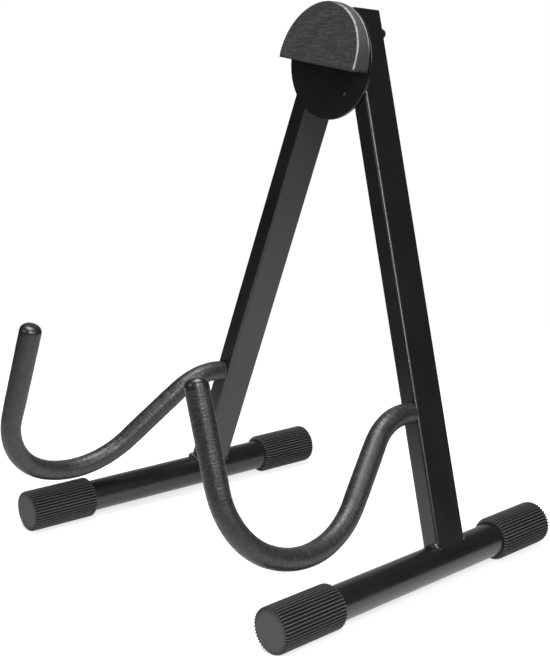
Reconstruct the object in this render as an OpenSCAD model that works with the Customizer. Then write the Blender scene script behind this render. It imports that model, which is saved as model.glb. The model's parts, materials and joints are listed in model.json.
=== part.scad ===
// Folding A-frame instrument stand. Each side is one welded frame (leg, base tube and
// cradle arm) that swings on its own bolt through a round head plate with a foam pad.
// +X is the stand's right-hand side, the cradle arms reach towards -Y, and +Z is up.
// The origin is on the floor, in the middle of the open stand's footprint.

/* [Stance] */
// Half the distance between the base tubes, at the feet of the legs
foot_x = 139; // [120:1:160]
// How far behind the middle of the footprint the legs stand
foot_y = 49; // [40:0.05:60]
// Sideways slope of each leg when the stand is open, in degrees
spread = 18.2; // [16:0.1:20]
// Backwards lean of each leg, in degrees
lean = 5; // [2:0.5:8]
// Extra inward turn of each base tube at the back, in degrees
toe_in = 0.75; // [0:0.05:1]

/* [Legs] */
// Width of the leg tube, side to side
leg_w = 15; // [12:0.5:16]
// Depth of the leg tube, front to back
leg_d = 29.5; // [24:0.5:30]
// Wall thickness of the leg tube
leg_wall = 1.5; // [1:0.1:2]
// Outside corner radius of the leg tube
leg_corner = 1.8; // [1.6:0.1:3]
// Length of the leg from the base tube's centre line to its top end
leg_length = 412; // [380:1:440]
// Depth of the plug in the leg's top end
plug_depth = 9; // [6:1:9]
// Thickness of the plug's flange
plug_flange = 1.2; // [0.8:0.1:2]

/* [Base tubes] */
// Outside diameter of the base tube
tube_d = 25; // [22:0.5:26]
// Wall thickness of the base tube
tube_wall = 1.5; // [1:0.1:2]
// Reach of the base, from the leg's centre line to the front cap's face
base_front = 179; // [160:1:190]
// Reach of the right base, from the leg's centre line to the rear cap's face
right_base_rear = 107; // [90:0.5:120]
// Reach of the left base, from the leg's centre line to the rear cap's face
left_base_rear = 111.5; // [90:0.5:120]

/* [End caps] */
// Outside diameter over the ribs
cap_d = 32; // [30:0.5:34]
// Length of a front end cap
front_cap_length = 57.5; // [45:0.5:60]
// Length of a rear end cap
rear_cap_length = 55; // [45:0.5:60]
// Thickness of the closed end
cap_end = 3; // [2:0.5:5]
// Number of lengthwise ribs
rib_count = 42; // [30:1:48]
// Height of a rib
rib_height = 0.7; // [0.4:0.1:0.9]
// Radius of the smooth lip round the open end
lip_radius = 3; // [2:0.5:3]

/* [Cradle arms] */
// Diameter of the steel rod
rod_d = 9; // [7:0.5:10]
// Outside diameter of the soft sleeve
sleeve_d = 16; // [13:0.5:17]
// Bare rod between the leg and the sleeve
root_gap = 0.5; // [0.3:0.1:3]
// Straight length at the root
root_length = 5; // [4:0.5:10]
// Radius of the shoulder bend
shoulder_radius = 48; // [40:1:60]
// Radius of the cradle's back bend
cradle_radius = 74; // [60:1:80]
// Radius of the cradle's front bend
lip_bend_radius = 56; // [50:1:70]
// Length of the straight part of the arm's end cap
tip_collar = 2; // [1:0.5:5]
// Radius of the rounded rim of the arm's end cap
tip_round = 6; // [3:0.5:6]

/* [Right cradle arm] */
// Height of the right arm's root, along the leg
right_arm_height = 107.9; // [95:0.1:115]
// Outward turn of the right arm, in degrees
right_arm_splay = 2.3; // [0:0.1:4]
// Angle of the right shoulder bend, in degrees
right_shoulder_angle = 50.4; // [45:0.1:55]
// Straight length down to the right cradle
right_drop_length = 49.8; // [40:0.1:60]
// Angle of the right cradle's back bend, in degrees
right_cradle_angle = 71.7; // [55:0.1:75]
// Angle of the right cradle's front bend, in degrees
right_lip_bend_angle = 64.7; // [60:0.1:80]
// Straight length of the right upright end
right_upright_length = 64.5; // [40:0.5:90]

/* [Left cradle arm] */
// Height of the left arm's root, along the leg
left_arm_height = 98.8; // [95:0.1:115]
// Outward turn of the left arm, in degrees
left_arm_splay = 2; // [0:0.1:4]
// Angle of the left shoulder bend, in degrees
left_shoulder_angle = 47.4; // [45:0.1:55]
// Straight length down to the left cradle
left_drop_length = 57.3; // [40:0.1:60]
// Angle of the left cradle's back bend, in degrees
left_cradle_angle = 58.3; // [55:0.1:75]
// Angle of the left cradle's front bend, in degrees
left_lip_bend_angle = 78.3; // [60:0.1:80]
// Straight length of the left upright end
left_upright_length = 71.5; // [40:0.5:90]

/* [Head] */
// Diameter of the round head plate
plate_d = 87; // [80:1:100]
// Thickness of the head plate
plate_t = 2.5; // [2.4:0.1:3]
// Distance of the plate's centre below the pivot bolts
plate_drop = 23.3; // [18:0.1:26]
// Distance of each pivot bolt below the top end of its leg
pivot_drop = 16; // [14.5:0.5:18]
// Diameter of the stop pin between the tops of the legs
stop_d = 8; // [6:0.1:9]
// Length of the stop pin behind the plate
stop_length = 24; // [10:1:28]
// Distance of the punched dimple below the plate's centre
dimple_drop = 24.1; // [15:0.1:30]
// Distance of the punched dimple to the right of the plate's middle
dimple_side = 18.7; // [5:0.1:30]
// Diameter of the punched dimple under the pad
dimple_d = 3.6; // [2:0.2:5]
// Depth of the punched dimple
dimple_depth = 0.8; // [0.4:0.1:1.2]

/* [Pad] */
// Radius of the half-moon pad
pad_r = 41.2; // [38:0.1:44]
// Distance of the pad's centre above the plate's
pad_rise = 3; // [0:0.1:5]
// Distance of the pad's straight edge below its centre
pad_edge_drop = 6.1; // [0:0.1:10]
// Thickness of the pad at its centre
pad_t = 13.9; // [11:0.1:16]
// Slope of the pad's face, thicker at the bottom, in degrees
pad_slope = 10.3; // [0:0.1:11]
// Turn of the pad on the plate, clockwise from the front, in degrees
pad_turn = 6.7; // [0:0.1:10]

/* [Pivot hardware] */
// Diameter of the pivot bolt
bolt_d = 5; // [4:0.5:6]
// Diameter of the bolt's countersunk head
bolt_head_d = 9.2; // [8:0.1:10]
// Outside diameter of the bush through the leg
bush_d = 8; // [7.5:0.5:9]
// Radial running clearance between the bolt and the bush
running_gap = 0.05; // [0.02:0.01:0.08]
// Outside diameter of the friction washer between plate and leg
friction_washer_d = 14; // [10:0.5:14]
// Thickness of the friction washer
friction_washer_t = 0.6; // [0.5:0.1:0.8]
// Outside diameter of the washer under the nut
nut_washer_d = 10; // [9:0.5:12]
// Thickness of the washer under the nut
nut_washer_t = 0.8; // [0.5:0.1:1.2]
// Width of the dome nut across its flats
nut_flats = 8; // [7:0.5:10]
// Height of the dome nut
nut_height = 7.7; // [6:0.1:8]
// Thickness of the dome nut's closed end
nut_cover = 2; // [1.5:0.1:2.5]

/* [Hidden] */
$fn = 96;
RIGHT = 1;
LEFT = -1;
steel_black = "#1d1d1f";
sleeve_grey = "#3c3c3e";
rubber_black = "#262628";
foam_grey = "#4a4a4c";
zinc = "#8f9296";
nylon = "#d8d6cc";

// The legs' own inward turn that keeps both pivot axes at right angles to the head plate
leg_toe = atan(tan(lean) * sin(spread));
// Direction of the right leg, from foot to top
leg_in = sin(spread) * cos(lean) * cos(leg_toe) + sin(lean) * sin(leg_toe);
leg_back = sin(lean) * cos(leg_toe) - sin(spread) * cos(lean) * sin(leg_toe);
leg_up = cos(spread) * cos(lean);
// Backwards lean of the head plate, and the legs' half angle measured on it
head_tilt = asin(sin(lean) * cos(spread));
open_angle = asin(leg_in);
// The pivot bolts, halfway through the depth of the legs
pivot_along = leg_length - pivot_drop;
pivot_x = foot_x - pivot_along * leg_in;
pivot_y = foot_y + pivot_along * leg_back;
pivot_z = cap_d / 2 + pivot_along * leg_up;
// Depths in the head's own frame, measured from the legs' middle plane
leg_face = leg_d / 2;
plate_back = leg_face + friction_washer_t;
plate_front = plate_back + plate_t;
nut_seat = leg_face + nut_washer_t;
// Height of the stop pin above the bolts at which the open legs just touch it
stop_height = (pivot_x * cos(open_angle) - leg_w / 2 - stop_d / 2) / sin(open_angle);
// Countersink depth, and small gaps round the bolt in the washers, the plate and the plug
sink = (bolt_head_d - bolt_d) / 2;
washer_gap = 0.15;
fit_gap = 0.05;
// How far a straight stretch of the arm runs into a bend, and how much slimmer it is
lap = 1;
slim = 0.05;
tube_front_end = base_front - cap_end;

// A level frame at the foot of a leg, with Y along the leg's own plane
module at_foot(side) {
    mirror([side == LEFT ? 1 : 0, 0, 0])
        translate([foot_x, foot_y, cap_d / 2])
            rotate([0, 0, leg_toe]) children();
}

// A frame at the foot of a leg, with Z up the leg and Y backwards through its depth
module at_leg(side) {
    at_foot(side) rotate([0, -spread, 0]) rotate([-lean, 0, 0]) children();
}

// Reach of a side's base behind its leg: the left base tube is a little longer
function base_rear(side) = side == LEFT ? left_base_rear : right_base_rear;

// A frame at the foot of a leg, with Y along the base tube
module at_base(side) {
    at_foot(side) rotate([0, 0, toe_in]) children();
}

// The head's frame, midway between the bolts, with Y backwards along the pivot axes
module at_head() {
    translate([0, pivot_y, pivot_z]) rotate([-head_tilt, 0, 0]) children();
}

// A round bar along +Y, from y0 to y1
module bar(d, y0, y1) {
    translate([0, y0, 0]) rotate([-90, 0, 0]) cylinder(h = y1 - y0, d = d);
}

// A tapered round bar along +Y
module taper(d0, d1, y0, y1) {
    translate([0, y0, 0]) rotate([-90, 0, 0]) cylinder(h = y1 - y0, d1 = d0, d2 = d1);
}

// A rectangle with rounded corners
function rounded_box(w, d, r, steps = 6) = [
    for (corner = [0:3]) for (i = [0:steps])
        let (a = 90 * corner + 90 * i / steps,
             cx = (corner == 0 || corner == 3 ? 1 : -1) * (w / 2 - r),
             cy = (corner < 2 ? 1 : -1) * (d / 2 - r))
        [cx + r * cos(a), cy + r * sin(a)]
];

// The outline of the ribbed grip, with a rib at the bottom
function ribbed_outline(count, r_top, r_root) = [
    for (i = [0:count - 1]) for (step = [[-0.27, 1], [0.27, 1], [0.4, 0], [0.6, 0]])
        let (a = 360 * (i + step[0]) / count - 90, r = step[1] == 1 ? r_top : r_root)
        [r * cos(a), r * sin(a)]
];

// ---- Head ----

module head_plate() {
    color(steel_black) at_head() difference() {
        translate([0, 0, -plate_drop]) bar(plate_d, -plate_front, -plate_back);
        for (side = [LEFT, RIGHT]) translate([side * pivot_x, 0, 0]) {
            bar(bolt_d + 2 * fit_gap, -plate_front - 1, -plate_back + 1);
            taper(bolt_head_d, bolt_d + 2 * fit_gap, -plate_front, -plate_front + sink);
        }
        translate([0, 0, stop_height]) bar(stop_d / 2, -plate_front - 1, -plate_back + 1);
        translate([dimple_side, 0, -plate_drop - dimple_drop])
            bar(dimple_d, -plate_front - 1, -plate_front + dimple_depth);
    }
}

module head_pad() {
    reach = 2 * pad_r;
    color(foam_grey) at_head() translate([0, -plate_front, pad_rise - plate_drop])
        rotate([0, pad_turn, 0]) difference() {
            bar(2 * pad_r, -2 * pad_t, 0);
            translate([-reach, -reach, -pad_edge_drop - reach]) cube([2 * reach, 2 * reach, reach]);
            translate([0, -pad_t, 0]) rotate([-pad_slope, 0, 0])
                translate([-reach, -reach, -reach]) cube([2 * reach, reach, 2 * reach]);
        }
}

// A shouldered rivet: the thick part stands between the legs, the thin part fills the plate
module stop_pin() {
    color(zinc) at_head() translate([0, 0, stop_height]) {
        bar(stop_d, -plate_back, -plate_back + stop_length);
        bar(stop_d / 2, -plate_front, -plate_back);
    }
}

// ---- Pivot hardware ----

module pivot_bolt(side) {
    color(zinc) at_head() translate([side * pivot_x, 0, 0]) {
        bar(bolt_d, -plate_front + sink / 2, nut_seat + nut_height - nut_cover);
        taper(bolt_head_d - 2 * fit_gap, bolt_d, -plate_front, -plate_front + sink);
    }
}

// A low dome nut: a hexagon with a ball-shaped cover over a blind hole
module pivot_nut(side) {
    dome_d = nut_flats - 0.2;
    hex_height = nut_height * 0.58;
    color(steel_black) at_head() translate([side * pivot_x, 0, 0]) difference() {
        union() {
            translate([0, nut_seat, 0]) rotate([-90, 0, 0])
                cylinder(h = hex_height, r = nut_flats / 2 / cos(30), $fn = 6);
            intersection() {
                translate([0, nut_seat + nut_height - dome_d / 2, 0]) sphere(d = dome_d);
                bar(nut_flats, nut_seat + hex_height - 0.5, nut_seat + nut_height);
            }
        }
        bar(bolt_d, nut_seat - 1, nut_seat + nut_height - nut_cover);
    }
}

module friction_washer(side) {
    color(nylon) at_head() translate([side * pivot_x, 0, 0]) difference() {
        bar(friction_washer_d, -plate_back, -leg_face);
        bar(bolt_d + 2 * washer_gap, -plate_back - 1, -leg_face + 1);
    }
}

module nut_washer(side) {
    color(zinc) at_head() translate([side * pivot_x, 0, 0]) difference() {
        bar(nut_washer_d, leg_face, nut_seat);
        bar(bolt_d + 2 * washer_gap, leg_face - 1, nut_seat + 1);
    }
}

module pivot_bush(side) {
    color(zinc) at_leg(side) translate([0, 0, pivot_along]) difference() {
        bar(bush_d, -leg_face, leg_face);
        bar(bolt_d + 2 * running_gap, -leg_face - 1, leg_face + 1);
    }
}

// ---- Side frames ----

module leg(side) {
    inner_corner = max(leg_corner - leg_wall, 0.3);
    color(steel_black) difference() {
        at_leg(side) difference() {
            linear_extrude(leg_length - plug_flange)
                polygon(rounded_box(leg_w, leg_d, leg_corner));
            translate([0, 0, -1]) linear_extrude(leg_length + 2)
                polygon(rounded_box(leg_w - 2 * leg_wall, leg_d - 2 * leg_wall, inner_corner));
            translate([0, 0, pivot_along]) bar(bush_d, -leg_d, leg_d);
        }
        at_base(side) bar(tube_d, -2 * leg_d, 2 * leg_d);
        at_foot(side) translate([-tube_d, -leg_d, -tube_d]) cube([2 * tube_d, 2 * leg_d, tube_d]);
    }
}

module leg_plug(side) {
    inset = 2 * (leg_wall + fit_gap);
    color(rubber_black) at_leg(side) {
        translate([0, 0, leg_length - plug_flange]) linear_extrude(plug_flange)
            polygon(rounded_box(leg_w, leg_d, leg_corner));
        translate([0, 0, leg_length - plug_depth]) linear_extrude(plug_depth - plug_flange)
            polygon(rounded_box(leg_w - inset, leg_d - inset, 0.4));
    }
}

module base_tube(side) {
    rear_end = base_rear(side) - cap_end;
    color(steel_black) at_base(side) difference() {
        bar(tube_d, -tube_front_end, rear_end);
        bar(tube_d - 2 * tube_wall, -tube_front_end - 1, rear_end + 1);
    }
}

// A round end along +Z, with its rim rounded off
module round_end(r, rim) {
    rotate_extrude() {
        square([r - rim, rim]);
        translate([r - rim, 0]) intersection() {
            circle(r = rim);
            square(rim);
        }
    }
}

// An end cap along +Y: its closed face at y = 0 and its open end at y = length
module end_cap(length) {
    grip = length - lip_radius;
    root_r = cap_d / 2 - rib_height;
    color(rubber_black) difference() {
        union() {
            rotate([90, 0, 180]) linear_extrude(grip)
                polygon(ribbed_outline(rib_count, cap_d / 2, root_r));
            translate([0, grip, 0]) rotate([-90, 0, 0]) round_end(root_r, lip_radius);
        }
        bar(tube_d, cap_end, length + 1);
    }
}

module front_cap(side) {
    at_base(side) translate([0, -base_front, 0]) end_cap(front_cap_length);
}

module rear_cap(side) {
    at_base(side) translate([0, base_rear(side), 0]) mirror([0, 1, 0])
        end_cap(rear_cap_length);
}

// ---- Cradle arms ----
// Each step starts at the origin heading along +Z, draws its stretch of the arm and
// carries its children to the stretch's far end. Bends are in the Y-Z plane. The
// straights are a hair slimmer and run a little way into the bends at both ends.

module ring(r_out, r_in) {
    difference() {
        circle(r = r_out);
        if (r_in > 0) circle(r = r_in);
    }
}

module straight(length, r_out, r_in, lap_before = lap, lap_after = lap) {
    if (r_out > 0) translate([0, 0, -lap_before])
        linear_extrude(length + lap_before + lap_after)
            ring(r_out - slim, r_in > 0 ? r_in + slim : 0);
    translate([0, 0, length]) children();
}

// turn is 1 to bend towards +Y and -1 to bend towards -Y
module bend(radius, angle, turn, r_out, r_in) {
    if (r_out > 0) mirror([0, turn < 0 ? 1 : 0, 0]) translate([0, radius, 0])
        rotate([90, 0, -90]) rotate_extrude(angle = angle) translate([radius, 0])
            ring(r_out, r_in);
    translate([0, turn * radius * (1 - cos(angle)), radius * sin(angle)])
        rotate([-turn * angle, 0, 0]) children();
}

// The whole arm from its root, drawn from start on, and its children at its far end.
// A radius of 0 draws nothing.
module arm_path(side, r_out = 0, r_in = 0, start = 0) {
    is_right = side == RIGHT;
    translate([0, 0, start])
        straight(root_length - start, r_out, r_in, 0, lap)
        bend(shoulder_radius, is_right ? right_shoulder_angle : left_shoulder_angle, -1, r_out, r_in)
        straight(is_right ? right_drop_length : left_drop_length, r_out, r_in)
        bend(cradle_radius, is_right ? right_cradle_angle : left_cradle_angle, 1, r_out, r_in)
        straight(lap, r_out, r_in)
        bend(lip_bend_radius, is_right ? right_lip_bend_angle : left_lip_bend_angle, 1, r_out, r_in)
        straight(is_right ? right_upright_length : left_upright_length, r_out, r_in, lap, 0)
        children();
}

// A frame at an arm's root on the leg's front face, heading forwards, with +Y up the leg
module at_arm(side) {
    height = side == RIGHT ? right_arm_height : left_arm_height;
    splay = side == RIGHT ? right_arm_splay : left_arm_splay;
    at_leg(side) translate([0, 0, height]) rotate([0, 0, splay])
        translate([0, -leg_face / cos(splay), 0]) rotate([90, 0, 0]) children();
}

module arm_rod(side) {
    color(steel_black) difference() {
        at_arm(side) arm_path(side, rod_d / 2, 0, -1);
        at_leg(side) translate([-leg_w / 2, -leg_face, 0]) cube([leg_w, leg_d, leg_length]);
    }
}

module arm_sleeve(side) {
    color(sleeve_grey) at_arm(side) arm_path(side, sleeve_d / 2, rod_d / 2, root_gap);
}

// A domed cap bonded to the ends of the rod and its sleeve
module arm_tip(side) {
    color(rubber_black) at_arm(side) arm_path(side) {
        cylinder(h = tip_collar, d = sleeve_d);
        translate([0, 0, tip_collar]) round_end(sleeve_d / 2, tip_round);
    }
}

head_plate();
head_pad();
stop_pin();
pivot_bolt(RIGHT);  // right_pivot_bolt
pivot_bolt(LEFT);  // left_pivot_bolt
pivot_nut(RIGHT);  // right_pivot_nut
pivot_nut(LEFT);  // left_pivot_nut
friction_washer(RIGHT);  // right_friction_washer
friction_washer(LEFT);  // left_friction_washer
nut_washer(RIGHT);  // right_nut_washer
nut_washer(LEFT);  // left_nut_washer
leg(RIGHT);  // right_leg
leg(LEFT);  // left_leg
leg_plug(RIGHT);  // right_leg_plug
leg_plug(LEFT);  // left_leg_plug
pivot_bush(RIGHT);  // right_pivot_bush
pivot_bush(LEFT);  // left_pivot_bush
base_tube(RIGHT);  // right_base_tube
base_tube(LEFT);  // left_base_tube
front_cap(RIGHT);  // right_front_cap
front_cap(LEFT);  // left_front_cap
rear_cap(RIGHT);  // right_rear_cap
rear_cap(LEFT);  // left_rear_cap
arm_rod(RIGHT);  // right_arm_rod
arm_rod(LEFT);  // left_arm_rod
arm_sleeve(RIGHT);  // right_arm_sleeve
arm_sleeve(LEFT);  // left_arm_sleeve
arm_tip(RIGHT);  // right_arm_tip
arm_tip(LEFT);  // left_arm_tip
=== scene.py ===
"""A folding A-frame instrument stand: the looks of every piece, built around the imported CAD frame.

Lengths are in millimetres in each piece's own frame and become metres when a piece is placed.
"""

import json
import math

import bmesh
import bpy
from mathutils import Matrix, Vector, noise


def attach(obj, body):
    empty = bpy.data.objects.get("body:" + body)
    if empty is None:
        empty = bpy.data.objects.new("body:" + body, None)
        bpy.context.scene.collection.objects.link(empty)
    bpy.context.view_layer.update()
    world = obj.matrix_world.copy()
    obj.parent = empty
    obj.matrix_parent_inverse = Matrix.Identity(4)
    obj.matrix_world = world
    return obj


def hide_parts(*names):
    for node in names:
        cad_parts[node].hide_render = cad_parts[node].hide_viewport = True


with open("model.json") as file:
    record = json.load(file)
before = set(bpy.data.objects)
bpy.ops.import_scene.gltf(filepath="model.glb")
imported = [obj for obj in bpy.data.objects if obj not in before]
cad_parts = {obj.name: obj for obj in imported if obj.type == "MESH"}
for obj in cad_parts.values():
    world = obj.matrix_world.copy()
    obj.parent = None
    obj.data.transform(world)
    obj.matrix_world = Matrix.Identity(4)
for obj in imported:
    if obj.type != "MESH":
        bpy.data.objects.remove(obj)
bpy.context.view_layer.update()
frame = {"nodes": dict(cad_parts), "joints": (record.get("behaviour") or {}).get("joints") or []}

# ---- Sizes, in millimetres and degrees -------------------------------------------------------

MM = 0.001
PIVOT_ALONG = 396.0  # from the base tube's centre line up the leg to the pivot bolt
LEG_W, LEG_D, LEG_WALL, LEG_CORNER = 15.0, 29.5, 1.5, 1.8
LEG_TOP = 410.8  # the leg tube's top end, under the plug's flange
LEG_RINGS = (24, 60, 120, 180, 240, 300, 360, 400)  # heights of the rings between the ends
LEG_BORE_RINGS = (400, 200, 24)
PLUG_FLANGE, PLUG_DEPTH = 1.2, 9.0
TUBE_R, TUBE_WALL = 12.5, 1.5
CAP_R, CAP_END, CAP_LIP = 16.0, 3.0, 1.6
CAP_LENGTHS = {"front": 57.5, "rear": 55.0}
RIBS, RIB_HEIGHT = 42, 1.6
ROD_R, SLEEVE_R, SLEEVE_START = 4.5, 8.0, 0.5
# Each arm: the height of its root up the leg, its outward turn, its bends as (radius, degrees),
# positive upwards, the straight stretches before and after them, and how much its sleeve flares
ARM_SHAPES = {
    "right": (107.9, 2.3, ((48.0, -50.4), (74.0, 71.7), (56.0, 64.7)), (5.0, 49.8, 1.0, 64.5), 0.05),
    "left": (98.8, 2.0, ((48.0, -47.4), (74.0, 58.3), (56.0, 78.3)), (5.0, 57.3, 1.0, 71.5), 0.35),
}
TIP_COLLAR, TIP_ROUND = 2.0, 6.0
PLATE_R, PLATE_T, PLATE_DROP = 43.5, 2.5, 23.3
WASHER_T, NUT_WASHER_T = 0.6, 0.8
WASHER_R, NUT_WASHER_R, WASHER_BORE_R, BUSH_R = 7.0, 5.0, 2.65, 4.0
PLATE_BACK = LEG_D / 2 + WASHER_T
PLATE_FRONT = PLATE_BACK + PLATE_T
NUT_SEAT = LEG_D / 2 + NUT_WASHER_T
BOLT_R, BOLT_HEAD_R = 2.5, 4.6
NUT_FLATS, NUT_HEIGHT, NUT_COVER = 8.0, 7.7, 2.0
STOP_R, STOP_LENGTH = 4.0, 24.0
DIMPLE_R, DIMPLE_DEPTH, DIMPLE_DROP, DIMPLE_SIDE = 1.8, 0.8, 24.1, 18.7
PAD_R, PAD_RISE, PAD_EDGE_DROP, PAD_T, PAD_SLOPE, PAD_TURN = 41.2, 3.0, 6.1, 13.9, 10.3, 6.7
PAD_MIDDLE = 14.0  # height of the middle of the half-moon's face above its full circle's centre
GAP = 0.01  # keeps pieces that touch from sharing a face
SHARP = 35  # faces that meet at more than this many degrees keep a sharp edge
TAU = 2 * math.pi

# ---- View, floor and light, in metres, degrees and watts -------------------------------------

CAMERA_AZIMUTH, CAMERA_ELEVATION = 48.52, 12.49
CAMERA_PLACE = (0.7481, -0.66455, 0.39635)
CAMERA_LENS, CAMERA_SENSOR = 74.34, 36.0  # in millimetres
CAMERA_SHIFT = (0.0126, -0.0055)  # in shares of the image's longer side
FLOOR_RADIUS, FLOOR_SIDES, FLOOR_GREYS, FLOOR_GLOW = 1.6, 64, (0.46, 0.48), 0.66
# The floor fades out between these distances from the point (0.05, -0.06)
FADE_SHIFT, FADE_START, FADE_STOP = (-0.05, 0.06, 0), 0.12, 0.95
# The backdrop's direction, and the cosines from it at which its glow starts and is full
BACKDROP_WAY, BACKDROP_EDGES = (-0.73, 0.66, 0.18), (0.80, 0.97)
ROOM_GLOW, BACKDROP_GLOW = 0.05, 0.5
LIGHT_AIM = (0, 0, 0.18)
# Each light: its azimuth, elevation and distance from the aim, its width and height, its power
LIGHTS = {
    "overhead": (0, 88, 1.7, 1.1, 1.1, 44),
    "right_fill": (90, 26, 1.5, 0.8, 0.95, 9),
    "camera_side": (58, 32, 1.6, 0.28, 0.95, 18),
    "front_fill": (-12, 24, 1.7, 0.7, 0.5, 5),
}


# ---- Frames of the parts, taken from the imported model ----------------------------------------


def basis(origin, x, y, z):
    """A matrix whose local millimetres stand at origin, in metres, along the three unit axes."""
    turn = Matrix((x, y, z)).transposed().to_4x4()
    return Matrix.Translation(origin) @ turn @ Matrix.Scale(MM, 4)


def turned(axis, degrees):
    return Matrix.Rotation(math.radians(degrees), 4, axis)


def moved(x, y, z):
    return Matrix.Translation((x, y, z))


def tube_ends(node):
    """The middles of a straight tube's front and rear ends."""
    points = [v.co for v in frame["nodes"][node].data.vertices]
    reach = 3 * MM
    ends = []
    for limit, sign in ((min(p.y for p in points), 1), (max(p.y for p in points), -1)):
        ring = [p for p in points if sign * (p.y - limit) < reach]
        low = Vector([min(p[k] for p in ring) for k in range(3)])
        high = Vector([max(p[k] for p in ring) for k in range(3)])
        ends.append((low + high) / 2)
    return ends


RIGHT, UP = Vector((1, 0, 0)), Vector((0, 0, 1))
MIRROR = Matrix.Scale(-1, 4, RIGHT)
pivot = next(j for j in frame["joints"] if j["name"] == "right_leg_fold")
PIVOT = Vector(pivot["pos_m"])
BACK = Vector(pivot["axis"]).normalized()
HEAD_UP = RIGHT.cross(BACK)
HEAD = basis(Vector((0, PIVOT.y, PIVOT.z)), RIGHT, BACK, HEAD_UP)


def base_frames(side):
    """The frames at a base tube's front and rear ends, as on the right, and its length."""
    ends = tube_ends(f"{side}_base_tube")
    front, rear = ends if side == "right" else [MIRROR @ end for end in ends]
    along = (rear - front).normalized()
    across = along.cross(UP)
    length = (rear - front).length / MM
    return basis(front, across, along, UP), basis(rear, across, along, UP), length


BASES = {side: base_frames(side) for side in ("right", "left")}
base_front = BASES["right"][0]
along_tube = base_front.to_3x3().col[1].normalized()
rise = (PIVOT.z - base_front.translation.z) / (PIVOT_ALONG * MM * HEAD_UP.z)
OPEN_SIN = math.sqrt(1 - rise * rise)
LEG_UP = HEAD_UP * rise - RIGHT * OPEN_SIN
FOOT = PIVOT - LEG_UP * PIVOT_ALONG * MM
LEG = basis(FOOT, BACK.cross(LEG_UP), BACK, LEG_UP)
TUBE_IN_LEG = (LEG.to_3x3().inverted() @ along_tube).normalized()
STOP_UP = (PIVOT.x / MM * rise - LEG_W / 2 - STOP_R) / OPEN_SIN


def placed(side, matrix):
    """The same place on the right or left side of the stand."""
    return matrix if side == "right" else MIRROR @ matrix


def arm_frame(side):
    """An arm's root on the leg's front face: Z forwards, Y up the leg."""
    height, splay = ARM_SHAPES[side][:2]
    out = LEG_D / 2 / math.cos(math.radians(splay))
    root = moved(0, 0, height) @ turned("Z", splay) @ moved(0, -out, 0)
    return placed(side, LEG @ root @ turned("X", 90))


# ---- Mesh tools ------------------------------------------------------------------------------


def clamp(t):
    return min(max(t, 0.0), 1.0)


def smooth(t):
    t = clamp(t)
    return t * t * (3 - 2 * t)


def rough(x, y, z, octaves=3):
    """Smooth noise from about -1 to 1."""
    return noise.fractal(Vector((x, y, z)), 1.0, 2.0, octaves)


def mesh_piece(name, points, faces, matrix, wear_and_painted_light=None, grain=None, sharp=SHARP):
    """A mesh from points in a local frame, with its normals outwards and sharp edges marked.

    The wear values and grain are optional values per point that the materials read. The wear values
    hold real wear on the legs' corners, and painted light on the weld lump, the caps, the sleeves and
    the pad."""
    mesh = bpy.data.meshes.new(name)
    mesh.from_pydata([matrix @ Vector(p) for p in points], [], faces)
    work = bmesh.new()
    work.from_mesh(mesh)
    bmesh.ops.recalc_face_normals(work, faces=work.faces)
    work.to_mesh(mesh)
    work.free()
    mesh.shade_smooth()
    mesh.set_sharp_from_angle(angle=math.radians(sharp))
    if wear_and_painted_light is not None:
        mesh.attributes.new("wear_and_painted_light", "FLOAT", "POINT").data.foreach_set("value", wear_and_painted_light)
    if grain is not None:
        flat = [c for g in grain for c in g]
        mesh.attributes.new("grain", "FLOAT_VECTOR", "POINT").data.foreach_set("vector", flat)
    obj = bpy.data.objects.new(name, mesh)
    bpy.context.scene.collection.objects.link(obj)
    return obj


def ring_faces(rings, count, closed):
    """Quads between rings of count points each; closed joins the last ring to the first."""
    faces = []
    for i in range(rings if closed else rings - 1):
        a, b = i * count, (i + 1) % rings * count
        for k in range(count):
            n = (k + 1) % count
            faces.append((a + k, a + n, b + n, b + k))
    return faces


def lofted(name, rings, matrix, closed=False, start=None, end=None, wear_and_painted_light=None, grain=None,
           sharp=SHARP):
    """Rings of points joined into one skin. start and end are middle points that close it."""
    count = len(rings[0])
    points = [p for ring in rings for p in ring]
    faces = ring_faces(len(rings), count, closed)
    for middle, first in ((start, 0), (end, (len(rings) - 1) * count)):
        if middle is not None:
            points.append(middle)
            centre = len(points) - 1
            faces += [(first + k, first + (k + 1) % count, centre) for k in range(count)]
    extra = len(points) - len(rings) * count
    if wear_and_painted_light is not None:
        wear_and_painted_light = [w for ring in wear_and_painted_light for w in ring] + [0.0] * extra
    if grain is not None:
        grain = [g for ring in grain for g in ring] + [(0.0, 0.0, 0.0)] * extra
    return mesh_piece(name, points, faces, matrix, wear_and_painted_light, grain, sharp)


def circle(r, y, count=96, flats=None):
    """A ring about the Y axis at height y. With flats it is a hexagon of that width, cut to r."""
    ring = []
    for k in range(count):
        a = TAU * k / count
        radius = r
        if flats is not None:
            hexagon = flats / 2 / math.cos((a + math.pi / 6) % (math.pi / 3) - math.pi / 6)
            radius = min(r, hexagon)
        ring.append((radius * math.cos(a), y, radius * math.sin(a)))
    return ring


def arc_profile(r, y, radius, start, stop, steps):
    """Points (r, y) along a rounded edge about the middle (r, y), from start to stop degrees."""
    out = []
    for k in range(steps + 1):
        a = math.radians(start + (stop - start) * k / steps)
        out.append((r + radius * math.cos(a), y + radius * math.sin(a)))
    return out


def spun(name, profile, matrix, count=96, closed=False, sharp=SHARP):
    """A profile of (radius, height) turned about the Y axis, closed on the axis or on itself."""
    rings = [circle(r, y, count) for r, y in profile]
    if closed:
        return lofted(name, rings, matrix, closed=True, sharp=sharp)
    start, end = (0, profile[0][1], 0), (0, profile[-1][1], 0)
    return lofted(name, rings, matrix, start=start, end=end, sharp=sharp)


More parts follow.
